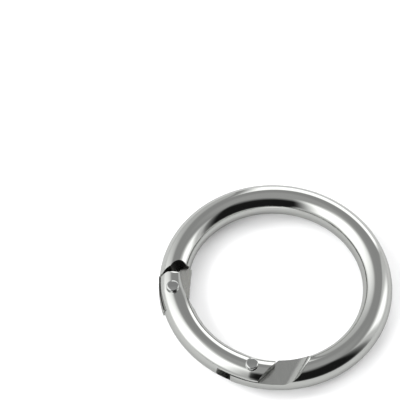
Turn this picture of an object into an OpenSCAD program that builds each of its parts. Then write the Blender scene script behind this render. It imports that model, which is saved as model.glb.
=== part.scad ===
// Spring gate ring: a round cast ring with a pinned, sprung gate that swings inwards.
// The ring lies in the XY plane with its centre at the origin. The middle of the gate is on
// the -X side, its hinge end towards +Y and its latch end towards -Y. Millimetres, +Z up.

/* [Ring] */
// Clear diameter inside the ring
ring_inner_d = 25; // [24.6:0.1:25.4]
// Diameter of the round bar that the ring and the gate are made of
bar_d = 4.2; // [4.15:0.01:4.25]
// Thickness of the flat tongues at the two ends of the ring
tongue_t = 1.5; // [1.4:0.05:1.55]

/* [Gate] */
// Angle from the middle of the gate to each rivet, seen from the ring's centre
rivet_angle = 34.4; // [34.2:0.1:34.6]
// Width of the slots in the gate's forked ends
slot_w = 1.6; // [1.6:0.01:1.65]
// Gap between the gate's solid inner wall and the full width of the ring's flat
end_gap = 0.15; // [0.12:0.01:0.25]
// Slant of the gate's latch end from the radial direction
end_slant = 29.6; // [29:0.1:30.4]
// Distance from the latch rivet to the gate's slanted end, along the bar
end_reach = 2.37; // [2.3:0.01:2.45]

/* [Hinge] */
// Distance of the hinge rivet outwards from the bar's centre line
hinge_out = 0.3; // [0.25:0.01:0.35]
// Radius of the gate's hinge end about the hinge rivet
knuckle_r = 2.8; // [2.75:0.01:2.9]
// Radius about the hinge rivet at which the ring's shoulder starts
shoulder_r = 2.95; // [2.9:0.01:3]
// Height above the middle plane from which the shoulder leans away from the gate
shoulder_z = 1.08; // [1:0.02:1.2]
// How far the shoulder's walls lean outwards for each millimetre of height
shoulder_lean = 0.78; // [0.74:0.01:0.82]
// Radius of the scoop in the inner half of the shoulder, at the tongue's face
scoop_r = 1.29; // [1.24:0.01:1.32]
// Radius of the relief on the inner side of the gate's ears
relief_r = 9; // [8.8:0.1:9.2]
// How far the tongue stands proud of the bar on its inner edge
tongue_proud_in = 0.28; // [0.2:0.01:0.3]
// How far the tongue stands proud of the bar on its outer edge
tongue_proud_out = 0.06; // [0.03:0.01:0.1]

/* [Latch] */
// Radius of the rounded inner corner of the gate's latch end
tip_r = 0.85; // [0.75:0.05:0.9]
// Distance from the latch rivet to the foot of the ramp, square to the ramp
ramp_reach = 4.82; // [4.76:0.02:4.9]
// Slant of the ramp's foot from the radial direction
ramp_slant = 13.2; // [12:0.1:14]
// Radius of the hollow ramp that runs up to the full round bar
ramp_r = 2.1; // [2:0.05:2.2]
// Radius of the cutter that leaves the curved floor of the latch slot
saw_r = 4.86; // [4.84:0.01:4.9]
// Radius of the rounded tip of the hook
nose_r = 1; // [0.95:0.01:1.05]

/* [Rivets] */
// Diameter of the rivets' shanks
shank_d = 1.4; // [1.38:0.01:1.42]
// Diameter of the rivets' heads
head_d = 1.8; // [1.76:0.01:1.84]
// Height of the heads' tops above the middle plane
head_top = 2.65; // [2.6:0.01:2.7]
// Radial clearance of a rivet's shank in the tongue
running_gap = 0.05; // [0.04:0.01:0.06]

/* [Spring] */
// Diameter of the plunger's head
plunger_d = 1.3; // [1.28:0.01:1.32]
// Distance by which the plunger's line of push misses the hinge rivet's centre
lever = 0.6; // [0.58:0.01:0.62]
// Tilt of the spring bore from the bar's direction at the hinge
bore_tilt = 12; // [11.5:0.1:12.5]
// Diameter of the spring bore
bore_d = 1.4; // [1.38:0.01:1.42]
// Distance from the hinge rivet to the bottom of the spring bore
bore_end = 9.2; // [9:0.05:9.3]
// Diameter of the spring's wire
spring_wire = 0.22; // [0.2:0.01:0.24]
// Outside diameter of the spring
spring_d = 1.22; // [1.2:0.01:1.24]
// Number of turns of the spring, with the two closed end turns
spring_turns = 12; // [11:1:13]

/* [Hidden] */

fine = 96;
eps = 0.05;
bar_r = bar_d / 2;
ring_r = ring_inner_d / 2 + bar_r;
outer_r = ring_r + bar_r;
inner_r = ring_r - bar_r;
half_t = tongue_t / 2;
shank_r = shank_d / 2;
shank_hole_r = shank_r + running_gap;
head_r = head_d / 2;

// Directions of the two rivets from the ring's centre, and their places
hinge_dir = 180 - rivet_angle;
latch_dir = 180 + rivet_angle;
hinge_r = ring_r + hinge_out;
hinge_at = hinge_r * [cos(hinge_dir), sin(hinge_dir)];
latch_at = ring_r * [cos(latch_dir), sin(latch_dir)];
// Distance between the rivets, which is the radius of the latch rivet's path, and its direction
path_r = norm(latch_at - hinge_at);
path_dir = atan2(latch_at.y - hinge_at.y, latch_at.x - hinge_at.x);

// Where the round bars of the ring and the gate are cut off before their ends are shaped
gate_from = 132;
gate_to = 232;
body_from = 198;
body_to = 495.3;

// Shoulder: its cuts go a little below the tongue's face. The scoop's middle and a point and
// the slant of the line where the tongue's milled face ends are in the hinge frame.
skim = 0.03;
scoop_at = [2.1, -1.75];
scoop_skim = 0.035;
face_skim = 0.025;
face_end = [3.47, -1.46];
face_slant = 15.9;
lean_rise = 2;
// Deepest place of the ears' relief, counted from the hinge rivet
relief_at = [1.9, -1.25];
// Line at which the tongue's plate ends in the ring's bar
tongue_root = [[4.6, -12], [2.4, 4]];
// Inner edge of the tongue beside the rivet, which runs out to its full width
tongue_lip = 2.37;
lip_slope = 0.25;

// Spring line, counted from the foot of the lever towards the middle of the gate
contact_r = 1.9;
contact_gap = 0.02;
slot_floor = 2.54;
heel_gap = 0.05;
heel_low = 0.2;
heel_root = 1;
plunger_len = 1.28;
stem_r = 0.3;
stem_len = 2;
nose_ball = 1;
bottom_gap = 0.05;
plunger_tip = contact_r + contact_gap;
spring_from = plunger_tip + plunger_len;
// Steps along each turn of the spring, and round its wire
wire_steps = 14;
wire_sides = 8;
spring_to = bore_end - bottom_gap;

// Latch slot: where its curved floor and its straight inner wall lie, and the hook's outline
saw_x = -0.5;
saw_low = -1.2;
slot_inner_r = ring_r - 1.1;
hook_gap = 0.12;
nose_x = -1.6;
nose_y = 0.9;
nose_back = 0.1;
hook_split = 1.2;
wall_from = -0.2;
notch_sweep = 12;
notch_ease = 0.03;
// How far the ring's flat reaches under the gate's ears, counted from their slanted end
corner_back = 0.35;
// The hollow ramp's cutter goes this little below the flat
ramp_sink = 0.005;

// Seat of a rivet's head in the round bar
seat_z = 1.8;
seat_r = head_r + 0.02;
shank_fit = 0.01;
head_crown = 0.2;

cut = 12;
metal = [0.76, 0.77, 0.75];
rivet_metal = [0.70, 0.71, 0.70];
steel = [0.55, 0.56, 0.58];

// Frame at the hinge rivet: +X along the bar away from the gate, +Y away from the ring's centre
module at_hinge() {
    translate(hinge_at) rotate([0, 0, hinge_dir - 90]) children();
}

// Frame at the latch rivet: +X along the bar away from the gate, +Y away from the ring's centre
module at_latch() {
    translate(latch_at) rotate([0, 0, latch_dir + 90]) mirror([0, 1, 0]) children();
}

// Frame of the spring line: +X towards the ring's body, origin at the foot of the lever
module on_spring_line() {
    at_hinge() rotate([0, 0, bore_tilt]) translate([0, -lever, 0]) children();
}

// A stretch of the round bar between two directions
module bar(from, to) {
    rotate([0, 0, from]) rotate_extrude(angle = to - from, $fn = 2 * fine)
        translate([ring_r, 0]) circle(r = bar_r, $fn = fine);
}

// Everything above the tongue and everything below it, over a flat outline
module above_and_below(level) {
    for (side = [0, 1]) mirror([0, 0, side])
        translate([0, 0, level]) linear_extrude(cut) children();
}

// Cones above and below that open outwards from a circle at a level, in the hinge frame
module leaning_cut(at, r, level) {
    at_hinge() for (side = [0, 1]) mirror([0, 0, side]) translate([at.x, at.y, level])
        cylinder(r1 = r, r2 = r + shoulder_lean * lean_rise, h = lean_rise, $fn = fine);
}

// A plate in the middle plane
module plate(t) {
    translate([0, 0, -t / 2]) linear_extrude(t) children();
}

// Flat area on the gate's side of a slanted line across the bar
module before_line(reach, slant) {
    translate([reach, 0]) rotate(slant) translate([-cut, -cut]) square([cut, 2 * cut]);
}

// Outline of the tongue that carries the hinge rivet, in the hinge frame
module hinge_tongue_outline() {
    intersection() {
        translate([0, -hinge_r]) difference() {
            circle(r = outer_r + tongue_proud_out, $fn = 2 * fine);
            circle(r = inner_r - tongue_proud_in, $fn = 2 * fine);
        }
        polygon([[-cut, tongue_root[0].y], tongue_root[0], tongue_root[1], [-cut, tongue_root[1].y]]);
        union() {
            polygon([[0, -tongue_lip], [cut, -tongue_lip - lip_slope * cut], [cut, cut], [0, cut]]);
            rotate(bore_tilt) {
                translate([0, -lever]) circle(r = contact_r, $fn = fine);
                translate([heel_gap - slot_floor, heel_low]) square([slot_floor + heel_root, cut / 2]);
            }
        }
    }
}

// Curved floor that the slotting cutter leaves in the gate's latch end
module saw(grow) {
    translate([saw_x, saw_low + saw_r]) circle(r = saw_r + grow, $fn = fine);
}

// Outline of the gate up to its slanted latch end, whose inner corner is rounded
module gate_end_outline() {
    offset(r = tip_r, $fn = fine) offset(delta = -tip_r) difference() {
        before_line(end_reach, end_slant);
        translate([0, -ring_r]) circle(r = inner_r - eps / 2, $fn = 4 * fine);
    }
}

// Hook at the latch end of the ring, between its nose and the gate's slanted end
module hook_outline() {
    intersection() {
        saw(-hook_gap);
        union() {
            translate([nose_x, nose_y]) circle(r = nose_r, $fn = fine);
            translate([nose_x - nose_back, -cut / 2])
                square([hook_split - nose_x + nose_back + eps, cut]);
        }
    }
    difference() {
        translate([hook_split, -cut / 2]) square([cut, cut]);
        translate([0, -ring_r]) circle(r = slot_inner_r + hook_gap, $fn = 2 * fine);
    }
}

// Notch in the hook: an arc about the hinge rivet, by which the latch rivet leaves its seat.
// The outline's +X points from the hinge rivet to the latch rivet.
module latch_notch_outline() {
    translate([path_r, 0]) circle(r = shank_hole_r + notch_ease, $fn = fine);
    intersection() {
        difference() {
            circle(r = path_r + shank_hole_r, $fn = 2 * fine);
            circle(r = path_r - shank_hole_r, $fn = 2 * fine);
        }
        polygon([[0, 0], [2 * path_r, 0], [2 * path_r, 2 * path_r * tan(notch_sweep)]]);
    }
}

module ring_body() {
    color(metal) difference() {
        union() {
            difference() {
                bar(body_from, body_to);
                // Room for the gate's ears over the hinge tongue, with its leaning walls
                at_hinge() above_and_below(half_t - skim) circle(r = shoulder_r, $fn = fine);
                at_hinge() above_and_below(half_t - face_skim) intersection() {
                    translate(face_end) rotate(face_slant) translate([-cut, -cut]) square(cut);
                    translate([0, -cut]) square([cut, 2 * cut]);
                }
                leaning_cut([0, 0], shoulder_r, shoulder_z);
                leaning_cut(scoop_at, scoop_r, half_t - scoop_skim);
                // Flats and hollow ramps at the latch
                at_latch() for (side = [0, 1]) mirror([0, 0, side]) {
                    translate([0, 0, half_t]) linear_extrude(cut)
                        rotate(ramp_slant) translate([ramp_reach - cut, -cut]) square([cut, 2 * cut]);
                    rotate([0, 0, ramp_slant]) translate([ramp_reach, cut, half_t + ramp_r - ramp_sink])
                        rotate([90, 0, 0]) cylinder(r = ramp_r, h = 2 * cut, $fn = fine);
                }
                // The hook is narrower than the bar where it enters the gate
                at_latch() plate(cut) difference() {
                    before_line(end_reach - corner_back, end_slant);
                    hook_outline();
                }
            }
            at_hinge() plate(tongue_t) hinge_tongue_outline();
        }
        at_hinge() translate([0, 0, -cut / 2]) cylinder(r = shank_hole_r, h = cut, $fn = fine);
        translate(hinge_at) rotate(path_dir) plate(cut) latch_notch_outline();
    }
}

module gate() {
    color(metal) difference() {
        bar(gate_from, gate_to);
        // Round hinge end
        at_hinge() plate(cut) difference() {
            translate([0, -cut / 2]) square([cut, cut]);
            circle(r = knuckle_r, $fn = fine);
        }
        // Slot for the hinge tongue
        at_hinge() plate(slot_w) rotate(bore_tilt) translate([-slot_floor, -cut]) square([cut, 2 * cut]);
        // Relief on the inner side of the ears
        at_hinge() translate([relief_at.x, relief_at.y - relief_r, -cut / 2])
            cylinder(r = relief_r, h = cut, $fn = 2 * fine);
        // Slanted latch end
        at_latch() plate(cut) difference() {
            translate([0, -cut]) square([cut, 2 * cut]);
            gate_end_outline();
        }
        // Slot for the hook, open to the outer side, and to the inner side at the very end
        at_latch() plate(slot_w) {
            saw(0);
            difference() {
                translate([0, -cut]) square([cut, 2 * cut]);
                before_line(end_reach - corner_back - end_gap, end_slant);
            }
            difference() {
                translate([wall_from, -cut / 2]) square([cut, cut]);
                translate([0, -ring_r]) circle(r = slot_inner_r, $fn = 2 * fine);
            }
        }
        for (end = [0, 1]) rivet_place(end) {
            translate([0, 0, -cut / 2]) cylinder(r = shank_r + shank_fit, h = cut, $fn = fine);
            for (side = [0, 1]) mirror([0, 0, side])
                translate([0, 0, seat_z]) cylinder(r = seat_r, h = cut, $fn = fine);
        }
        // Bore for the spring and its plunger
        on_spring_line() translate([-bore_end, 0, 0]) rotate([0, 90, 0])
            cylinder(d = bore_d, h = bore_end - contact_r, $fn = fine);
    }
}

module rivet_place(end) {
    if (end == 0) at_hinge() children();
    else at_latch() children();
}

// A rivet with a low crowned head at each end
module rivet() {
    crown_r = (head_r * head_r + head_crown * head_crown) / (2 * head_crown);
    cylinder(r = shank_r, h = 2 * seat_z + 2 * eps, center = true, $fn = fine);
    for (side = [0, 1]) mirror([0, 0, side]) translate([0, 0, seat_z]) intersection() {
        cylinder(r = head_r, h = head_top - seat_z, $fn = fine);
        translate([0, 0, head_top - seat_z - crown_r]) sphere(r = crown_r, $fn = 2 * fine);
    }
}

module hinge_rivet() {
    color(rivet_metal) at_hinge() rivet();
}

module latch_rivet() {
    color(rivet_metal) at_latch() rivet();
}

// Place along the spring after a number of turns: one closed turn at each end, open between
function coil_x(turn) =
    let(open = (spring_to - spring_from - 3 * spring_wire) / (spring_turns - 2))
    turn < 1 ? turn * spring_wire
    : turn > spring_turns - 1
        ? spring_wire + open * (spring_turns - 2) + (turn - spring_turns + 1) * spring_wire
    : spring_wire + open * (turn - 1);

// Round wire swept along the spring's turns, as rings of points
module coil() {
    steps = wire_steps;
    sides = wire_sides;
    mean_r = (spring_d - spring_wire) / 2;
    wire_r = spring_wire / 2;
    n = steps * spring_turns;
    points = [for (i = [0:n]) let(a = 360 * i / steps, x = coil_x(i / steps) + wire_r)
              for (k = [0:sides - 1]) let(b = 360 * k / sides, r = mean_r + wire_r * cos(b))
              [x + wire_r * sin(b), r * cos(a), r * sin(a)]];
    walls = [for (i = [0:n - 1]) for (k = [0:sides - 1]) let(m = (k + 1) % sides)
             [i * sides + k, i * sides + m, (i + 1) * sides + m, (i + 1) * sides + k]];
    ends = [[for (k = [sides - 1:-1:0]) k], [for (k = [0:sides - 1]) n * sides + k]];
    polyhedron(points, concat(walls, ends), convexity = 10);
}

module gate_spring() {
    color(steel) on_spring_line() mirror([1, 0, 0]) translate([spring_from, 0, 0]) coil();
}

module spring_plunger() {
    color(steel) on_spring_line() mirror([1, 0, 0]) {
        intersection() {
            translate([plunger_tip - eps, 0, 0]) rotate([0, 90, 0])
                cylinder(d = plunger_d, h = plunger_len + eps, $fn = fine);
            translate([plunger_tip + nose_ball, 0, 0]) sphere(r = nose_ball, $fn = fine);
        }
        translate([plunger_tip + nose_ball, 0, 0]) rotate([0, 90, 0])
            cylinder(d = plunger_d, h = plunger_len - nose_ball, $fn = fine);
        translate([spring_from - eps, 0, 0]) rotate([0, 90, 0])
            cylinder(r = stem_r, h = stem_len + eps, $fn = fine / 2);
    }
}

ring_body();
gate();
hinge_rivet();
latch_rivet();
gate_spring();
spring_plunger();
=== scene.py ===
"""Looks of the spring gate ring: a nickel-plated ring with a pinned, sprung gate on a white table.

Metal pieces are modelled in millimetres and brought to metres when they are finished.
"""

import math

import bpy
from mathutils import Matrix, Vector


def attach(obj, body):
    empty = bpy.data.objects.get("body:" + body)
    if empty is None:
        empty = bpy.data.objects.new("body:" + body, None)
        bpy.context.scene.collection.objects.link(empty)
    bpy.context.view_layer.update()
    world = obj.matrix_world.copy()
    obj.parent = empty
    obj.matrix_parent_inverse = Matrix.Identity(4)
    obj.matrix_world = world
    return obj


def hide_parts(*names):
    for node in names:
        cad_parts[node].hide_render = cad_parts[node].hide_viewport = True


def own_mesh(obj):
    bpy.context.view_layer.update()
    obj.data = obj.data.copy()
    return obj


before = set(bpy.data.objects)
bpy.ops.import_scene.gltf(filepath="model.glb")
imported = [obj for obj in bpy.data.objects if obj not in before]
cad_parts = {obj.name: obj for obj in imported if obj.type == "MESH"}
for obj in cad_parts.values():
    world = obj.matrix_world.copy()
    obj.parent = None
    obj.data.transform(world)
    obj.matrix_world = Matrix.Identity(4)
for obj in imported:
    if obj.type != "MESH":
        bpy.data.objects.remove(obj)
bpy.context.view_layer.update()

MM = 0.001

# The ring and its round bar
RING_R = 14.6
BAR_R = 2.1
OUTER_R = RING_R + BAR_R
INNER_R = RING_R - BAR_R
RIVET_ANGLE = 34.4
HALF_TONGUE = 0.75
# The bar is open between these turns from the -X side
OPEN_FROM = -44.7
OPEN_TO = 18.0

# The gate's slots at the hinge and at the latch, and its arc, a little flatter than the ring's
HALF_SLOT = 0.8
HALF_LATCH_SLOT = 0.87
GATE_SAG = 0.13
SAG_POWER = 6

# Hinge
HINGE_OUT = 0.3
KNUCKLE_R = 2.8
# Worn rim of the ears' round ends: how far in from the end and how far below the bar's crest
EAR_RIM = ((0.48, -0.03), (0.16, 0.1), (0.12, 0.12), (0.07, 0.16), (0.03, 0.22), (0.0, 0.32))
EAR_CREST = 0.01
SHOULDER_R = 2.95
SKIM = 0.03
LEAN_FROM = 1.08
LEAN = 0.78
LEAN_RISE = 2.0
SCOOP = (2.1, -1.75)
SCOOP_R = 1.29
FACE_END = (3.47, -1.46)
FACE_SLANT = 15.9
RELIEF = (1.9, -1.25)
RELIEF_R = 9.0
PROUD_IN = 0.28
PROUD_OUT = 0.06
TONGUE_ROOT = ((4.6, -12.0), (2.4, 4.0))
TONGUE_LIP = 2.37
LIP_SLOPE = 0.25

# Latch
END_SLANT = 29.6
END_REACH = 2.37
END_GAP = 0.15
TIP_R = 0.85
TIP_IN = 0.025
CORNER_BACK = 0.35
RAMP_SLANT = 13.2
RAMP_REACH = 4.82
RAMP_R = 2.1
SAW = (-0.5, 3.66)
SAW_R = 4.86
HOOK_GAP = 0.12
NOSE = (-1.9, 0.95)
NOSE_R = 1.0
NOSE_BACK = 0.1
SLOT_INNER_R = RING_R - 1.1
HOOK_SPLIT = 1.2
HOOK_LAP = 0.05
WALL_FROM = -0.2
NOTCH_SWEEP = 12.0
NOTCH_EASE = 0.03

# Rivets. A head's profile is a radius and how far it lies below the top.
SHANK_R = 0.7
SHANK_FIT = 0.01
SHANK_HOLE_R = 0.75
HEAD_R = 0.9
HEAD_TOP = 2.65
HEAD_PROFILE = ((0, 0), (0.35, 0.008), (0.6, 0.026), (0.74, 0.05), (0.82, 0.08), (0.87, 0.125),
                (0.893, 0.18), (HEAD_R, 0.25))
SEAT_Z = 1.8
SEAT_R = 0.905

# Spring line in the gate
LEVER = 0.6
BORE_TILT = 12.0
BORE_R = 0.7
BORE_END = 9.2
CONTACT_R = 1.9
SLOT_FLOOR = 2.54
HEEL_GAP = 0.05
HEEL_LOW = 0.2

# Cutters reach past the bar, and to different heights where one shapes another
HIGH = (-4, 4)
HIGHER = (-5, 5)
HIGHEST = (-6, 6)
WIDE = (-6, 6)
BIG = 12.0
FAR = 40
# Faces that would lie in one plane are set this far apart
APART = 0.005

# Steps of the full ring, around it and around its bar
RING_STEPS = 300
BAR_STEPS = 80
# Rounded edges, and the angles in degrees past which an edge is rounded or stays sharp
EDGE_R = 0.1
EDGE_STEPS = 2
EDGE_ANGLE = 28
SMOOTH_ANGLE = 26
HEAD_SMOOTH_ANGLE = 40
# Points nearer to each other than this are merged, and thinner faces dissolved
MERGE = 0.004
SLIVER = 0.002
SPIN_MERGE = 0.001

# A point this near to the round bar lies on it, and past OFF_BAR it belongs to another face
ON_BAR = 0.004
OFF_BAR = 0.008
# The same for the middle of a whole face
NEAR = 0.02
CLEAR = 0.04
# A normal this close to the round bar's is replaced by it, and the rim's faces look up this much
LIKE_BAR = 0.9
RIM_UP = 0.2
# How upright a face's normal is: past LEVEL the face is flat, below STEEP or SHEER it is a wall
LEVEL = 0.9
STEEP = 0.5
SHEER = 0.3
# Reach of a finish, or of the painted shade in the recess, from its rivet, and the x there from
# which it shows
RAMP_NEAR = 7
RAMP_FROM = 2.5
RECESS_NEAR = 6
RECESS_FROM = 1.5
SLOT_NEAR = 6


# ---------------------------------------------------------------- places on the ring

def turn(degrees):
    return Matrix.Rotation(math.radians(degrees), 4, "Z")


# At each rivet x runs along the bar away from the gate, and y away from the ring's centre
AT_HINGE = turn(180 - RIVET_ANGLE) @ Matrix.Translation((RING_R + HINGE_OUT, 0, 0)) @ turn(-90)
AT_LATCH = (turn(180 + RIVET_ANGLE) @ Matrix.Translation((RING_R, 0, 0)) @ turn(90)
            @ Matrix.Scale(-1, 4, (0, 1, 0)))
AT_BORE = AT_HINGE @ turn(BORE_TILT) @ Matrix.Translation((0, -LEVER, 0))
HERE = Matrix.Identity(4)
BETWEEN_RIVETS = AT_LATCH.translation - AT_HINGE.translation
PATH_R = BETWEEN_RIVETS.length
ALONG_PATH = (Matrix.Translation(AT_HINGE.translation)
              @ turn(math.degrees(math.atan2(BETWEEN_RIVETS.y, BETWEEN_RIVETS.x))))


def outwards_at(point):
    """Direction away from the axis at a point."""
    return Vector((point.x, point.y, 0)).normalized()


def sag(x, y):
    """How far the gate's centre line lies inside the ring's, and its slope along the ring."""
    along = (math.degrees(math.atan2(y, x)) % 360 - 180 + RIVET_ANGLE) / (2 * RIVET_ANGLE)
    t = 2 * along - 1
    if abs(t) >= 1:
        return 0.0, 0.0
    slope = GATE_SAG * SAG_POWER * t ** (SAG_POWER - 1) / math.radians(RIVET_ANGLE)
    return GATE_SAG * (1 - t ** SAG_POWER), slope


def off_bar(centre, depth=0.0):
    """How far a point lies off the surface of the full round bar; depth is the arc's sag there."""
    out = centre - outwards_at(centre) * (RING_R - depth)
    return abs(out.length - BAR_R)


def outside(side, z):
    """From a height above or below the middle plane to well outside the bar, as low and high."""
    return sorted((side * z, side * HIGH[1]))


# ---------------------------------------------------------------- modelling

def pick(obj):
    """Select this object alone and make it active."""
    bpy.ops.object.select_all(action="DESELECT")
    obj.select_set(True)
    bpy.context.view_layer.objects.active = obj


def settle(obj, place):
    """Put a new primitive at its place, with the place in its mesh and its faces outwards."""
    obj.matrix_world = place @ obj.matrix_world
    pick(obj)
    bpy.ops.object.transform_apply(location=True, rotation=True, scale=True)
    bpy.ops.object.mode_set(mode="EDIT")
    bpy.ops.mesh.select_all(action="SELECT")
    bpy.ops.mesh.normals_make_consistent(inside=False)
    bpy.ops.object.mode_set(mode="OBJECT")
    return obj


def full_ring():
    bpy.ops.mesh.primitive_torus_add(major_radius=RING_R, minor_radius=BAR_R,
                                     major_segments=RING_STEPS, minor_segments=BAR_STEPS)
    return settle(bpy.context.object, HERE)


def drum(place, at, r, low, high, sides=192, r_top=None):
    """An upright cylinder or cone between two heights."""
    middle = (at[0], at[1], (low + high) / 2)
    if r_top is None:
        bpy.ops.mesh.primitive_cylinder_add(vertices=sides, radius=r, depth=high - low,
                                            location=middle)
    else:
        bpy.ops.mesh.primitive_cone_add(vertices=sides, radius1=r, radius2=r_top, depth=high - low,
                                        location=middle)
    return settle(bpy.context.object, place)


def block(place, x, y, z, slant=0.0, about=(0.0, 0.0)):
    """A block between two x, two y and two z, turned and then moved to a point of the plan."""
    size = (x[1] - x[0], y[1] - y[0], z[1] - z[0])
    middle = ((x[0] + x[1]) / 2, (y[0] + y[1]) / 2, (z[0] + z[1]) / 2)
    bpy.ops.mesh.primitive_cube_add(size=1, location=middle, scale=size)
    about_point = Matrix.Translation((about[0], about[1], 0)) @ turn(slant)
    return settle(bpy.context.object, place @ about_point)


def lying_drum(place, x, y, z, r, slant):
    """A cylinder that lies along y at a given x and height, turned about its place's origin."""
    bpy.ops.mesh.primitive_cylinder_add(vertices=128, radius=r, depth=y[1] - y[0],
                                        location=(x, (y[0] + y[1]) / 2, z),
                                        rotation=(math.pi / 2, 0, 0))
    return settle(bpy.context.object, place @ turn(slant))


def lean_wall(at, r, side, z):
    """A cone that opens outwards from a radius at a height, for a leaning wall."""
    wide = r + LEAN * LEAN_RISE
    if side > 0:
        return drum(AT_HINGE, at, r, z, z + LEAN_RISE, r_top=wide)
    return drum(AT_HINGE, at, wide, -z - LEAN_RISE, -z, r_top=r)


def turned(place, outline, steps=64):
    """A solid turned about its axis. The outline runs from the axis outwards, from its top to the
    middle plane, and is mirrored below it."""
    outline = outline + [(x, -z) for x, z in reversed(outline)]
    edges = [(i, i + 1) for i in range(len(outline) - 1)]
    mesh = bpy.data.meshes.new("turned")
    mesh.from_pydata([(x, 0, z) for x, z in outline], edges, [])
    obj = bpy.data.objects.new("turned", mesh)
    bpy.context.scene.collection.objects.link(obj)
    pick(obj)
    bpy.ops.object.mode_set(mode="EDIT")
    bpy.ops.mesh.select_all(action="SELECT")
    bpy.ops.mesh.spin(steps=steps, angle=2 * math.pi, center=(0, 0, 0), axis=(0, 0, 1))
    bpy.ops.mesh.select_all(action="SELECT")
    bpy.ops.mesh.remove_doubles(threshold=SPIN_MERGE)
    bpy.ops.object.mode_set(mode="OBJECT")
    return settle(obj, place)


def carve(target, tool, operation="DIFFERENCE"):
    """Cut, join or keep the common part of two solids, and use up the tool."""
    modifier = target.modifiers.new("carve", "BOOLEAN")
    modifier.operation = operation
    modifier.solver = "EXACT"
    modifier.object = tool
    pick(target)
    bpy.ops.object.modifier_apply(modifier=modifier.name)
    bpy.data.objects.remove(tool)
    return target


def join(target, tool):
    return carve(target, tool, "UNION")


def common(target, tool):
    return carve(target, tool, "INTERSECT")


def soften(obj):
    """Merge doubles, round the sharp edges and shade the bar as truly round."""
    pick(obj)
    bpy.ops.object.mode_set(mode="EDIT")
    bpy.ops.mesh.select_all(action="SELECT")
    bpy.ops.mesh.remove_doubles(threshold=MERGE)
    bpy.ops.mesh.dissolve_degenerate(threshold=SLIVER)
    bpy.ops.object.mode_set(mode="OBJECT")
    bevel = obj.modifiers.new("edges", "BEVEL")
    bevel.width = EDGE_R
    bevel.segments = EDGE_STEPS
    bevel.limit_method = "ANGLE"
    bevel.angle_limit = math.radians(EDGE_ANGLE)
    bpy.ops.object.shade_smooth_by_angle(angle=math.radians(SMOOTH_ANGLE))
    bevel.harden_normals = True
    bpy.ops.object.modifier_apply(modifier=bevel.name)
    return true_round(obj)


def true_round(obj, is_gate=False):
    """Shade the bar as exactly round, and the worn rim of the gate's ears as exactly turned."""
    mesh = obj.data
    normals = [Vector(n.vector) for n in mesh.corner_normals]
    for i, corner in enumerate(mesh.loops):
        at = mesh.vertices[corner.vertex_index].co
        depth, slope = sag(at.x, at.y) if is_gate else (0.0, 0.0)
        outwards = outwards_at(at)
        out = at - outwards * (RING_R - depth)
        if abs(out.length - BAR_R) < ON_BAR:
            along = Vector((-outwards.y, outwards.x, 0))
            out -= along * (out.dot(outwards) * slope / RING_R)
            if out.normalized().dot(normals[i]) > LIKE_BAR:
                normals[i] = out.normalized()
    if is_gate:
        for face in filter(on_rim, mesh.polygons):
            for i in face.loop_indices:
                normals[i] = rim_normal(mesh.vertices[mesh.loops[i].vertex_index].co)
    mesh.normals_split_custom_set(normals)
    return obj


def on_rim(face):
    """Whether a face of the gate belongs to the worn rim of its ears."""
    at = AT_HINGE.inverted() @ face.center
    off = off_bar(face.center, sag(face.center.x, face.center.y)[0])
    lowest = BAR_R - EAR_RIM[-1][1]
    return at.x > 0 and abs(at.z) > lowest and off > OFF_BAR and face.normal.z * at.z > RIM_UP


def rim_normal(point):
    """Direction that the ears' worn rim faces at a point."""
    at = AT_HINGE.inverted() @ point
    x = KNUCKLE_R - at.to_2d().length
    # Tilt at the middle of each step of the rim, blended from one middle to the next
    tilts = [((a[0] + b[0]) / 2, math.atan2(b[1] - a[1], a[0] - b[0]))
             for a, b in zip(EAR_RIM, EAR_RIM[1:])]
    tilt = tilts[-1][1]
    for (x0, tilt0), (x1, tilt1) in zip(tilts, tilts[1:]):
        if x > x1:
            tilt = tilt0 if x > x0 else tilt1 + (tilt0 - tilt1) * (x - x1) / (x0 - x1)
            break
    out = outwards_at(at) * math.sin(tilt) + Vector((0, 0, math.copysign(math.cos(tilt), at.z)))
    return (AT_HINGE.to_3x3() @ out).normalized()


def finish(obj, name, body, node, materials, zone=None):
    """Bring a finished piece to metres, name it, and let it stand for its CAD node."""
    obj.name = name
    obj.data.name = name
    obj.data.materials.clear()
    for material in materials:
        obj.data.materials.append(material)
    for face in obj.data.polygons:
        face.material_index = materials.index(zone(face.center, face.normal)) if zone else 0
    obj.matrix_world = Matrix.Scale(MM, 4)
    pick(obj)
    bpy.ops.object.transform_apply(location=False, rotation=False, scale=True)
    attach(obj, body)
    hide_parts(node)


# ---------------------------------------------------------------- the ring's body

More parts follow.
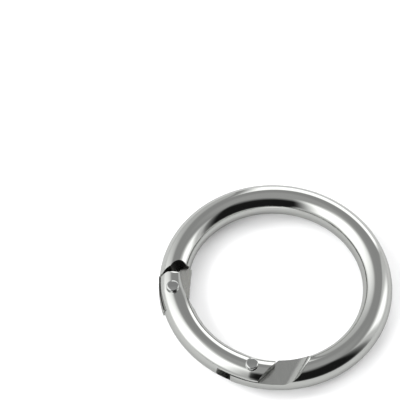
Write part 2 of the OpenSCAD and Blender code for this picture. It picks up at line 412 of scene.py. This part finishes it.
def ring_body():
    """The cast ring with its hinge tongue, shoulder, flats, ramps and hook."""
    ring = full_ring()
    # Open the ring between the two tongues
    wedge = block(HERE, (-FAR, 0), (-FAR, 0), HIGH, slant=OPEN_FROM)
    carve(ring, common(wedge, block(HERE, (-FAR, 0), (0, FAR), HIGH, slant=OPEN_TO)))
    floor = HALF_TONGUE - SKIM
    for side in (1, -1):
        # Shoulder at the hinge, with its milled face, leaning wall and scoop
        carve(ring, drum(AT_HINGE, (0, 0), SHOULDER_R, *outside(side, floor)))
        face = block(AT_HINGE, (-BIG, 0), (-BIG, 0), outside(side, floor + APART),
                     slant=FACE_SLANT, about=FACE_END)
        carve(ring, common(face, block(AT_HINGE, (0, BIG), (-BIG, BIG), HIGHEST)))
        carve(ring, lean_wall((0, 0), SHOULDER_R, side, LEAN_FROM))
        carve(ring, lean_wall(SCOOP, SCOOP_R, side, floor - APART))
        # Flat and hollow ramp at the latch
        carve(ring, block(AT_LATCH, (RAMP_REACH - BIG, RAMP_REACH), (-BIG, BIG),
                          outside(side, HALF_TONGUE), slant=RAMP_SLANT))
        ramp_z = side * (HALF_TONGUE + RAMP_R - APART)
        carve(ring, lying_drum(AT_LATCH, RAMP_REACH, (-BIG, BIG), ramp_z, RAMP_R, RAMP_SLANT))
    # The hook, narrower than the bar where it enters the gate
    waste = block(AT_LATCH, (-BIG, -CORNER_BACK), (-BIG, BIG), HIGH,
                  slant=END_SLANT, about=(END_REACH, 0))
    carve(ring, carve(waste, hook()))
    join(ring, hinge_tongue())
    carve(ring, drum(AT_HINGE, (0, 0), SHANK_HOLE_R, *HIGH, sides=64))
    carve(ring, latch_notch())
    return soften(ring)


def hook():
    """The hook's outline as a tall solid."""
    claw = drum(AT_LATCH, SAW, SAW_R - HOOK_GAP, *HIGHER)
    nose = drum(AT_LATCH, NOSE, NOSE_R, *HIGHEST, sides=96)
    join(nose, block(AT_LATCH, (NOSE[0] - NOSE_BACK, HOOK_SPLIT + HOOK_LAP), WIDE, HIGHEST))
    common(claw, nose)
    web = block(AT_LATCH, (HOOK_SPLIT, BIG), WIDE, HIGHER)
    carve(web, drum(HERE, (0, 0), SLOT_INNER_R + HOOK_GAP, *HIGHEST, sides=256))
    return join(claw, web)


def hinge_tongue():
    """The flat tongue with the rivet's eye, the plunger's face and the heel."""
    plate = drum(HERE, (0, 0), OUTER_R + PROUD_OUT, -HALF_TONGUE, HALF_TONGUE, sides=256)
    carve(plate, drum(HERE, (0, 0), INNER_R - PROUD_IN, *HIGHER, sides=256))
    (low_x, low_y), (high_x, high_y) = TONGUE_ROOT
    root = math.degrees(math.atan2(low_x - high_x, high_y - low_y))
    common(plate, block(AT_HINGE, (-BIG, 0), (-2 * BIG, 2 * BIG), HIGHER,
                        slant=root, about=TONGUE_ROOT[1]))
    outline = block(AT_HINGE, (0, BIG), WIDE, HIGHEST)
    lip = math.degrees(math.atan(-LIP_SLOPE))
    carve(outline, block(AT_HINGE, (-BIG, 2 * BIG), (-BIG, 0), (-7, 7),
                         slant=lip, about=(0, -TONGUE_LIP)))
    join(outline, drum(AT_BORE, (0, 0), CONTACT_R, -6.1, 6.1))
    join(outline, block(AT_HINGE, (HEEL_GAP - SLOT_FLOOR, 1), (HEEL_LOW, 6), (-6.2, 6.2),
                        slant=BORE_TILT))
    return common(plate, outline)


def latch_notch():
    """The way of the latch rivet through the hook, an arc about the hinge rivet."""
    way = drum(ALONG_PATH, (0, 0), PATH_R + SHANK_HOLE_R, *HIGH, sides=512)
    carve(way, drum(ALONG_PATH, (0, 0), PATH_R - SHANK_HOLE_R, *HIGHER, sides=512))
    common(way, block(ALONG_PATH, (0, 2 * BIG), (0, 2 * BIG), HIGHEST))
    common(way, block(ALONG_PATH, (0, 2 * BIG), (-2 * BIG, 0), HIGHEST, slant=NOTCH_SWEEP))
    return join(way, drum(ALONG_PATH, (PATH_R, 0), SHANK_HOLE_R + NOTCH_EASE, -4.1, 4.1, sides=64))


# ---------------------------------------------------------------- the gate and its rivets

def gate_bar():
    """The gate: a stretch of the bar, slotted at both ends and bored for the spring."""
    bar = full_ring()
    for vertex in bar.data.vertices:
        vertex.co -= outwards_at(vertex.co) * sag(vertex.co.x, vertex.co.y)[0]
    common(bar, block(HERE, (-FAR, 0), (-FAR, FAR), HIGH))
    # Round hinge end with its worn rim, relieved on the inside, and its slot
    waste = block(AT_HINGE, (0, 2 * BIG), (-2 * BIG, 6), HIGH)
    rim = [(0, BAR_R + EAR_CREST)] + [(KNUCKLE_R - x, BAR_R - z) for x, z in EAR_RIM]
    carve(waste, turned(AT_HINGE, rim, steps=192))
    carve(bar, waste)
    carve(bar, drum(AT_HINGE, (RELIEF[0], RELIEF[1] - RELIEF_R), RELIEF_R, *HIGH, sides=256))
    carve(bar, block(AT_HINGE, (-SLOT_FLOOR, BIG), (-BIG, BIG), (-HALF_SLOT, HALF_SLOT),
                     slant=BORE_TILT))
    # Slanted latch end
    carve(bar, block(AT_LATCH, (0, 2 * BIG), (-2 * BIG, 2 * BIG), HIGH,
                     slant=END_SLANT, about=(END_REACH, 0)))
    carve(bar, tip_corner())
    # Slot for the hook
    slot_z = (-HALF_LATCH_SLOT, HALF_LATCH_SLOT)
    slot = drum(AT_LATCH, SAW, SAW_R, *slot_z)
    side = block(AT_LATCH, (WALL_FROM, BIG), WIDE, slot_z)
    carve(side, drum(HERE, (0, 0), SLOT_INNER_R, *HIGHER, sides=256))
    carve(bar, join(slot, side))
    carve(bar, block(AT_LATCH, (-CORNER_BACK - END_GAP, BIG), (-BIG, BIG), slot_z,
                     slant=END_SLANT, about=(END_REACH, 0)))
    # Bore for the spring and its plunger
    bpy.ops.mesh.primitive_cylinder_add(vertices=64, radius=BORE_R, depth=BORE_END - CONTACT_R,
                                        location=(-(BORE_END + CONTACT_R) / 2, 0, 0),
                                        rotation=(0, math.pi / 2, 0))
    carve(bar, settle(bpy.context.object, AT_BORE))
    soften(bar)
    # The rivets' holes and seats keep sharp edges
    for place in (AT_HINGE, AT_LATCH):
        carve(bar, drum(place, (0, 0), SHANK_R + SHANK_FIT, *HIGHER, sides=64))
        carve(bar, drum(place, (0, 0), SEAT_R, SEAT_Z, HIGHER[1], sides=96))
        carve(bar, drum(place, (0, 0), SEAT_R, HIGHER[0], -SEAT_Z, sides=96))
    return true_round(bar, is_gate=True)


def tip_corner():
    """The corner of the gate's latch end outside the circle that rounds its inner corner."""
    slant = Matrix.Translation((END_REACH, 0, 0)) @ turn(END_SLANT)
    line = slant @ Vector((-TIP_R, 0, 0))
    along = slant.to_3x3() @ Vector((0, 1, 0))
    # Place on the line where the circle touches the inner side of the bar
    to_line = line + Vector((0, RING_R, 0))
    half_b = to_line.dot(along)
    reach = INNER_R - TIP_IN + TIP_R
    step = -half_b + math.sqrt(half_b ** 2 - to_line.length_squared + reach ** 2)
    centre = line + along * step
    inwards = math.degrees(math.atan2(-RING_R - centre.y, -centre.x))
    corner = block(AT_LATCH, (-3, 6), (-6, 0), HIGHER, slant=END_SLANT, about=centre)
    common(corner, block(AT_LATCH, (-3, BIG), (0, BIG), HIGHEST, slant=inwards, about=centre))
    return carve(corner, drum(AT_LATCH, (centre.x, centre.y), TIP_R, -7, 7))


def rivet(place):
    """A rivet with a crowned head at each end."""
    outline = [(r, HEAD_TOP - fall) for r, fall in HEAD_PROFILE]
    obj = turned(place, outline + [(HEAD_R, SEAT_Z), (SHANK_R, SEAT_Z)])
    pick(obj)
    bpy.ops.object.shade_smooth_by_angle(angle=math.radians(HEAD_SMOOTH_ANGLE))
    return obj


# ---------------------------------------------------------------- which metal a face shows

def ring_zone(centre, normal):
    """Plated bar, milled tongues, sawn edge of the hinge tongue, and painted shade in the recess
    around it.
    """
    if off_bar(centre) < NEAR:
        return plated
    hinge = AT_HINGE.inverted() @ centre
    latch = AT_LATCH.inverted() @ centre
    if abs(normal.z) > LEVEL and abs(abs(centre.z) - HALF_TONGUE) < CLEAR:
        return milled_hinge if hinge.length < latch.length else milled_latch
    if latch.length < RAMP_NEAR and latch.x > RAMP_FROM:
        return milled_latch
    if centre.to_2d().length > OUTER_R + PROUD_OUT / 2 and abs(normal.z) < STEEP:
        return sawn
    above_floor = abs(centre.z) > HALF_TONGUE - 2 * SKIM
    # Painted shade: the recess around the hinge tongue is painted near black
    if hinge.length < RECESS_NEAR and above_floor and hinge.x > RECESS_FROM:
        return recess_shade
    return plated


def gate_zone(centre, normal):
    """Plated bar, painted shade on the ends of the ears, and a sawn slot and end at the latch."""
    hinge = AT_HINGE.inverted() @ centre
    at_ear_end = abs(hinge.to_2d().length - KNUCKLE_R) < NEAR and hinge.x > 0
    # Painted shade: the round ends of the ears are painted near black
    if at_ear_end and abs(normal.z) < SHEER:
        return recess_shade
    latch = AT_LATCH.inverted() @ centre
    off = off_bar(centre, sag(centre.x, centre.y)[0])
    wall = off > CLEAR and abs(normal.z) < STEEP and abs(centre.z) < SEAT_Z
    return sawn if latch.length < SLOT_NEAR and wall else plated


# ---------------------------------------------------------------- materials

# Detail of the grain's noise, and the span of it that runs from one tone to the other
GRAIN_DETAIL = 2
GRAIN_SPAN = (0.3, 0.7)
# Where shade is painted, a metal keeps this share of its colour, past a step this soft to each side
EDGE_SHADE_KEPT = 0.16
EDGE_SHADE_SOFT = 0.04


def link(tree, a, a_socket, b, b_socket):
    tree.links.new(a.outputs[a_socket], b.inputs[b_socket])


def math_node(tree, operation, *values):
    node = tree.nodes.new("ShaderNodeMath")
    node.operation = operation
    for i, value in enumerate(values):
        if isinstance(value, (int, float)):
            node.inputs[i].default_value = value
        else:
            tree.links.new(value, node.inputs[i])
    return node.outputs[0]


def map_range(tree, value, low, high, to_low=0.0, to_high=1.0):
    """A soft step of a value, from one level to another."""
    node = tree.nodes.new("ShaderNodeMapRange")
    node.interpolation_type = "SMOOTHSTEP"
    node.inputs["From Min"].default_value = low
    node.inputs["From Max"].default_value = high
    node.inputs["To Min"].default_value = to_low
    node.inputs["To Max"].default_value = to_high
    tree.links.new(value, node.inputs["Value"])
    return node.outputs[0]


def mix_shaders(tree, factor, first, second):
    """The first shader where the factor is 0, and the second where it is 1."""
    node = tree.nodes.new("ShaderNodeMixShader")
    tree.links.new(factor, node.inputs["Fac"])
    tree.links.new(first.outputs[0], node.inputs[1])
    tree.links.new(second.outputs[0], node.inputs[2])
    return node


def fine_wear():
    """Shared grain of the metals: streaks or soft waves that shift roughness, colour and height."""
    group = bpy.data.node_groups.new("fine_wear", "ShaderNodeTree")
    sockets = (("Place", "NodeSocketVector"), ("Turn", "NodeSocketVector"),
               ("Grain", "NodeSocketVector"), ("Roughness", "NodeSocketFloat"),
               ("Spread", "NodeSocketFloat"))
    for name, kind in sockets:
        group.interface.new_socket(name, in_out="INPUT", socket_type=kind)
    for name in ("Roughness", "Mask", "Height"):
        group.interface.new_socket(name, in_out="OUTPUT", socket_type="NodeSocketFloat")
    into = group.nodes.new("NodeGroupInput")
    out = group.nodes.new("NodeGroupOutput")
    along_grain = group.nodes.new("ShaderNodeMapping")
    link(group, into, "Place", along_grain, "Vector")
    link(group, into, "Turn", along_grain, "Rotation")
    stretched = group.nodes.new("ShaderNodeMapping")
    link(group, along_grain, "Vector", stretched, "Vector")
    link(group, into, "Grain", stretched, "Scale")
    noise = group.nodes.new("ShaderNodeTexNoise")
    noise.inputs["Scale"].default_value = 1
    noise.inputs["Detail"].default_value = GRAIN_DETAIL
    link(group, stretched, "Vector", noise, "Vector")
    mask = map_range(group, noise.outputs[0], *GRAIN_SPAN)
    centred = math_node(group, "SUBTRACT", mask, 0.5)
    spread = math_node(group, "MULTIPLY", centred, into.outputs["Spread"])
    rough = math_node(group, "ADD", spread, into.outputs["Roughness"])
    group.links.new(rough, out.inputs["Roughness"])
    group.links.new(mask, out.inputs["Mask"])
    group.links.new(noise.outputs[0], out.inputs["Height"])
    return group


def two_tone(tree, mask, color, second):
    """One colour that gives way to a second one where the mask is 1."""
    mix = tree.nodes.new("ShaderNodeMix")
    mix.data_type = "RGBA"
    tree.links.new(mask, mix.inputs["Factor"])
    for socket in mix.inputs:
        if socket.type == "RGBA":
            socket.default_value = (*(color if socket.name == "A" else second), 1)
    return [output for output in mix.outputs if output.type == "RGBA"][0]


def painted_edge_shade(tree, coords, base, edge_shade_from):
    """Painted shade: a colour that turns dark past a distance from the ring's axis."""
    flat = tree.nodes.new("ShaderNodeVectorMath")
    flat.operation = "MULTIPLY"
    flat.inputs[1].default_value = (1, 1, 0)
    link(tree, coords, "Object", flat, 0)
    away = tree.nodes.new("ShaderNodeVectorMath")
    away.operation = "LENGTH"
    link(tree, flat, 0, away, 0)
    kept = map_range(tree, away.outputs["Value"], (edge_shade_from - EDGE_SHADE_SOFT) * MM,
                     (edge_shade_from + EDGE_SHADE_SOFT) * MM, 1.0, EDGE_SHADE_KEPT)
    scaled = tree.nodes.new("ShaderNodeVectorMath")
    scaled.operation = "SCALE"
    tree.links.new(base, scaled.inputs[0])
    tree.links.new(kept, scaled.inputs["Scale"])
    return scaled.outputs[0]


def metal(name, color, roughness, spread, second=None, angle=0.0, grain=(400, 400, 400),
          relief=0.0, edge_shade_from=None):
    """A metal with a grain, in waves per metre along x, y and z of a frame turned by an angle.
    Relief is the grain's height in hundredths of a millimetre. Past edge_shade_from, a distance
    from the ring's axis, shade is painted and the metal is dark."""
    material = bpy.data.materials.new(name)
    material.use_nodes = True
    tree = material.node_tree
    shader = tree.nodes["Principled BSDF"]
    shader.inputs["Metallic"].default_value = 1
    coords = tree.nodes.new("ShaderNodeTexCoord")
    effect = tree.nodes.new("ShaderNodeGroup")
    effect.node_tree = wear
    effect.inputs["Turn"].default_value = (0, 0, -math.radians(angle))
    effect.inputs["Grain"].default_value = grain
    effect.inputs["Roughness"].default_value = roughness
    effect.inputs["Spread"].default_value = spread
    link(tree, coords, "Object", effect, "Place")
    link(tree, effect, "Roughness", shader, "Roughness")
    shader.inputs["Base Color"].default_value = (*color, 1)
    if second:
        base = two_tone(tree, effect.outputs["Mask"], color, second)
        if edge_shade_from:
            base = painted_edge_shade(tree, coords, base, edge_shade_from)
        tree.links.new(base, shader.inputs["Base Color"])
    if relief:
        bump = tree.nodes.new("ShaderNodeBump")
        bump.inputs["Strength"].default_value = 1
        bump.inputs["Distance"].default_value = relief * MM / 100
        link(tree, effect, "Height", bump, "Height")
        link(tree, bump, "Normal", shader, "Normal")
    return material


# ---------------------------------------------------------------- studio

# Turn of the camera about the ring. Bearings count in degrees from the camera's right.
CAMERA_TURN = 46.8
CAMERA_BEARING = -90
# Bearings run from this far below -180, in the haze at the back, to the lamp at the back right
BEARING_CUT = 76
STUDIO_BASE = 0.36
PLAIN_LIGHT = 0.76
ALL_ROUND = (-400, 400, 1, 1)
# What the metal sees, painted one over the other:
# (bearing from, to, softness at each), (height from, to, softness at each), lean, brightness
STUDIO = (
    # ceiling, then the haze at the back
    (ALL_ROUND, (66, 120, 16, 1), 0.0, 0.45),
    ((-400, -200, 1, 30), (-400, 183, 1, 24), 0.6, 0.62),
    # black flag on the camera's side
    ((-125, -10, 10, 22), (6, 68, 14, 22), 0.08, 0.012),
    # big softbox on the left, with the dimmer corner at its foot beside the flag
    ((-209, -116, 64, 34), (3, 70, 24, 18), 0.0, 1.75),
    ((-150, -101, 26, 12), (-20, 12, 10, 18), 0.0, 0.62),
    # haze on the right and its softbox
    ((-3, 52, 10, 6), (-99, 52, 1, 14), 0.0, 0.72),
    ((10, 38, 14, 14), (11, 45, 20, 18), 0.0, 1.7),
    # lamp at the back right
    ((54, 99, 8, 7), (-400, -3.75, 1, 10), 0.45, 1.75),
)

# The table, as it is and as the metal shows it, with a painted pool of light inside the ring that
# only the metal shows
TABLE_SIZE = 3.0
TABLE_COLOR = (0.94, 0.94, 0.945, 1)
TABLE_IN_METAL = 0.46
PAINTED_POOL = 1.1
PAINTED_POOL_BEARING = -80
PAINTED_POOL_R = 9.5
PAINTED_POOL_CORE = 1.5
PAINTED_POOL_EDGE = 7

# Lamps that the metal doesn't show: name, bearing, height and watts
LAMPS = (
    ("left_softbox", 180.0, 38.0, 1.75),
    ("front_left_softbox", 225.0, 38.0, 1.05),
    ("back_right_softbox", 38.0, 38.0, 0.8),
    ("back_softbox", 90.0, 38.0, 0.7),
)
LAMP_DISTANCE = 0.5
LAMP_SIZE = 0.25

# Camera: the image's size, the ring's place in it and the focal length in pixels, the distance
# in metres, the height and roll in degrees, the sensor in millimetres, the clip in metres
IMAGE = (400, 406)
RING_AT = (275.80, 285.56)
FOCAL = 2773.4
CAMERA_DISTANCE = 0.3976
CAMERA_HEIGHT = 59.413
CAMERA_ROLL = 5.741
SENSOR = 36
CLIP = (0.01, 20)


def direction_to(bearing, height):
    """Direction to a bearing, counted from the camera's right, and a height, both in degrees."""
    a, e = math.radians(bearing - CAMERA_TURN), math.radians(height)
    return Vector((math.cos(a) * math.cos(e), math.sin(a) * math.cos(e), math.sin(e)))


def background(tree, strength=1.0):
    """A background that is white unless something is linked to its colour."""
    node = tree.nodes.new("ShaderNodeBackground")
    node.inputs["Color"].default_value = (1, 1, 1, 1)
    node.inputs["Strength"].default_value = strength
    return node


def window(tree, value, low, high, soft_low, soft_high):
    """1 between two values and 0 outside them, with a soft step at each."""
    up = map_range(tree, value, low - soft_low / 2, low + soft_low / 2)
    down = map_range(tree, value, high - soft_high / 2, high + soft_high / 2, 1.0, 0.0)
    return math_node(tree, "MULTIPLY", up, down)


def studio_level(tree):
    """Brightness of the studio, by bearing and height of the direction that is seen."""
    coords = tree.nodes.new("ShaderNodeTexCoord")
    rotate = tree.nodes.new("ShaderNodeVectorRotate")
    rotate.rotation_type = "Z_AXIS"
    rotate.inputs["Angle"].default_value = math.radians(CAMERA_TURN + BEARING_CUT)
    link(tree, coords, "Generated", rotate, "Vector")
    split = tree.nodes.new("ShaderNodeSeparateXYZ")
    link(tree, rotate, "Vector", split, "Vector")
    around = math_node(tree, "ARCTAN2", split.outputs["Y"], split.outputs["X"])
    bearing = math_node(tree, "MULTIPLY_ADD", around, 180 / math.pi, -BEARING_CUT)
    rise = math_node(tree, "ARCSINE", split.outputs["Z"])
    height = math_node(tree, "MULTIPLY", rise, 180 / math.pi)
    level = STUDIO_BASE
    for bearings, heights, lean, brightness in STUDIO:
        leaned = math_node(tree, "MULTIPLY_ADD", bearing, -lean, height)
        mask = math_node(tree, "MULTIPLY", window(tree, bearing, *bearings),
                         window(tree, leaned, *heights))
        change = math_node(tree, "SUBTRACT", brightness, level)
        level = math_node(tree, "ADD", level, math_node(tree, "MULTIPLY", mask, change))
    return level


def studio_world():
    """The studio is seen only in the metal. Other rays see plain light, and the camera white."""
    world = bpy.data.worlds.new("studio")
    bpy.context.scene.world = world
    world.use_nodes = True
    tree = world.node_tree
    tree.nodes.clear()
    out = tree.nodes.new("ShaderNodeOutputWorld")
    seen = background(tree)
    tree.links.new(studio_level(tree), seen.inputs["Color"])
    # A reflection seen by way of the table is plain too
    rays = tree.nodes.new("ShaderNodeLightPath")
    from_table = math_node(tree, "MINIMUM", rays.outputs["Diffuse Depth"], 1.0)
    in_metal = math_node(tree, "SUBTRACT", rays.outputs["Is Glossy Ray"], from_table)
    lit = mix_shaders(tree, math_node(tree, "MAXIMUM", in_metal, 0.0),
                      background(tree, PLAIN_LIGHT), seen)
    backdrop = mix_shaders(tree, rays.outputs["Is Camera Ray"], lit, background(tree))
    link(tree, backdrop, "Shader", out, "Surface")


def stage():
    """The white table under the ring."""
    bpy.ops.mesh.primitive_plane_add(size=TABLE_SIZE, location=(0, 0, -HEAD_TOP * MM))
    table = bpy.context.object
    table.name = "table"
    material = bpy.data.materials.new("white_table")
    material.use_nodes = True
    tree = material.node_tree
    tree.nodes.clear()
    out = tree.nodes.new("ShaderNodeOutputMaterial")
    plain = tree.nodes.new("ShaderNodeBsdfDiffuse")
    plain.inputs["Color"].default_value = TABLE_COLOR
    mirrored = tree.nodes.new("ShaderNodeBsdfDiffuse")
    place = tree.nodes.new("ShaderNodeTexCoord")
    away = tree.nodes.new("ShaderNodeVectorMath")
    away.operation = "DISTANCE"
    away.inputs[1].default_value = direction_to(PAINTED_POOL_BEARING, 0) * (PAINTED_POOL_R * MM)
    link(tree, place, "Object", away, "Vector")
    # Painted light: the table as the metal shows it is brighter in a pool inside the ring
    painted_pool = map_range(tree, away.outputs["Value"], PAINTED_POOL_CORE * MM, PAINTED_POOL_EDGE * MM,
                      PAINTED_POOL, TABLE_IN_METAL)
    tree.links.new(painted_pool, mirrored.inputs["Color"])
    rays = tree.nodes.new("ShaderNodeLightPath")
    surface = mix_shaders(tree, rays.outputs["Is Glossy Ray"], plain, mirrored)
    link(tree, surface, "Shader", out, "Surface")
    table.data.materials.append(material)


def lamps():
    """Area lamps that light the table and throw the ring's shadow on it."""
    for name, bearing, height, watts in LAMPS:
        place = direction_to(bearing, height) * LAMP_DISTANCE
        bpy.ops.object.light_add(type="AREA", location=place)
        lamp = bpy.context.object
        lamp.name = name
        lamp.data.size = LAMP_SIZE
        lamp.data.energy = watts
        lamp.visible_glossy = False
        lamp.rotation_euler = (-lamp.location).to_track_quat("-Z", "Y").to_euler()


def camera():
    """A long lens high above the latch's side, rolled a little."""
    place = direction_to(CAMERA_BEARING, CAMERA_HEIGHT) * CAMERA_DISTANCE
    forward = -place.normalized()
    right = forward.cross(Vector((0, 0, 1))).normalized()
    up = right.cross(forward)
    roll = math.radians(CAMERA_ROLL)
    right_rolled = right * math.cos(roll) + up * math.sin(roll)
    up_rolled = up * math.cos(roll) - right * math.sin(roll)
    aimed = Matrix((right_rolled, up_rolled, -forward)).transposed()
    # The ring stands beside the middle of the image, so the camera swings away from it
    off = Vector((RING_AT[0] - IMAGE[0] / 2, IMAGE[1] / 2 - RING_AT[1], -FOCAL)).normalized()
    swing = off.rotation_difference(Vector((0, 0, -1))).to_matrix()
    bpy.ops.object.camera_add(location=place)
    cam = bpy.context.object
    cam.rotation_euler = (aimed @ swing).to_euler()
    cam.data.sensor_width = SENSOR
    cam.data.lens = FOCAL * SENSOR / max(IMAGE)
    cam.data.clip_start, cam.data.clip_end = CLIP
    bpy.context.scene.camera = cam


# ---------------------------------------------------------------- the scene

bpy.context.scene.view_settings.view_transform = "Standard"

wear = fine_wear()
plated = metal("nickel_plate", (0.63, 0.64, 0.62), roughness=0.05, spread=0.02,
               grain=(260, 260, 260), relief=0.4)
# The milled hinge face is painted dark along its outer edge, a painted shade line
milled_hinge = metal("milled_hinge_face", (0.80, 0.80, 0.76), roughness=0.3, spread=0.25,
                     second=(0.56, 0.57, 0.54), angle=90 - RIVET_ANGLE, grain=(90, 1700, 400),
                     relief=1.0, edge_shade_from=OUTER_R - 0.15)
milled_latch = metal("milled_latch_face", (0.62, 0.63, 0.61), roughness=0.2, spread=0.1,
                     second=(0.58, 0.59, 0.57), angle=180 + RIVET_ANGLE + END_SLANT,
                     grain=(90, 1500, 400), relief=0.6)
# Painted shade: a near-black metal for the recess by the hinge and for the ears' round ends
recess_shade = metal("recess_painted_shade", (0.07, 0.07, 0.065), roughness=0.3, spread=0.1)
sawn = metal("sawn_faces", (0.7, 0.7, 0.68), roughness=0.5, spread=0.2,
             second=(0.28, 0.28, 0.27), grain=(1500, 1500, 1500), relief=2.0)
plated_rivet = metal("rivet_plate", (0.56, 0.57, 0.56), roughness=0.12, spread=0.05,
                     grain=(900, 900, 900), relief=0.3)
spring_steel = metal("spring_steel", (0.4, 0.4, 0.41), roughness=0.25, spread=0.1)

finish(ring_body(), "ring_body_plated", "ring", "ring_body",
       (plated, milled_hinge, milled_latch, recess_shade, sawn), ring_zone)
finish(gate_bar(), "gate_plated", "gate", "gate", (plated, recess_shade, sawn), gate_zone)
finish(rivet(AT_HINGE), "hinge_rivet_turned", "gate", "hinge_rivet", (plated_rivet,))
finish(rivet(AT_LATCH), "latch_rivet_turned", "gate", "latch_rivet", (plated_rivet,))
for node in ("gate_spring", "spring_plunger"):
    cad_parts[node].data.materials.clear()
    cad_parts[node].data.materials.append(spring_steel)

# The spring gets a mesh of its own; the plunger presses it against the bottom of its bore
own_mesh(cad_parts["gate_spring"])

studio_world()
stage()
lamps()
camera()
